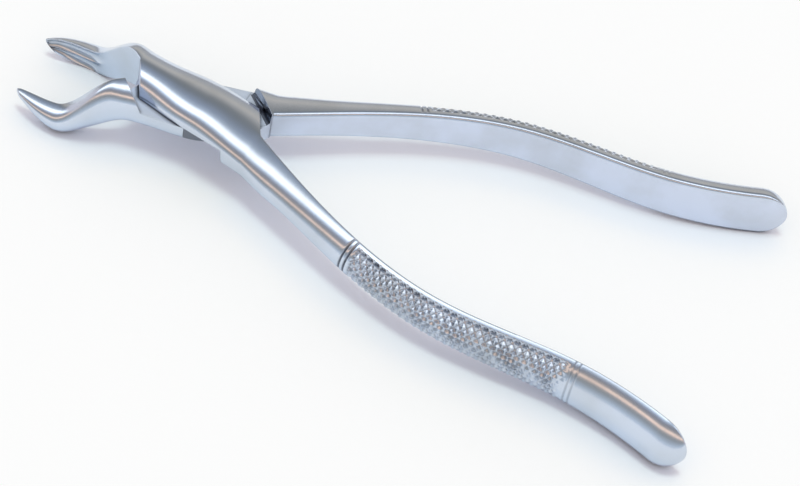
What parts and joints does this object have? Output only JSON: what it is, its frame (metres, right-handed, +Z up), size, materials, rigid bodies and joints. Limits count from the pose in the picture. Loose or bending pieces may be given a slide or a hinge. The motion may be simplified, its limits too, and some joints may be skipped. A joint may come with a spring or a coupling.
{
  "type": "dental extraction forceps",
  "caption": "Steel tooth extraction forceps: crossed halves turning on a pivot screw, with bent shaped beaks and curved handles with knurled grips.",
  "frame": {"origin": "centre of the pivot screw's flat face, on the underside of the joint", "axes": "+Z up the pivot axis, +X from the beaks to the handles along the line that halves the opening angle, +Y to the side of the fluted beak; the table that the forceps lie on is at z = -7.1 mm"},
  "size_m": [0.1679, 0.0788, 0.0159],
  "materials": {
    "top_half": "satin polished",
    "under_half": "satin polished",
    "pivot_screw": "satin polished"
  },
  "bodies": {
    "top": {"top_half": "top_half", "pivot_screw": "pivot_screw"},
    "under": {"under_half": "under_half"}
  },
  "joints": [
    {"name": "pivot", "type": "hinge", "parent": "top", "child": "under", "pos_m": [0, 0, 0], "axis": [0, 0, 1], "range_deg": [-20, 25]}
  ]
}
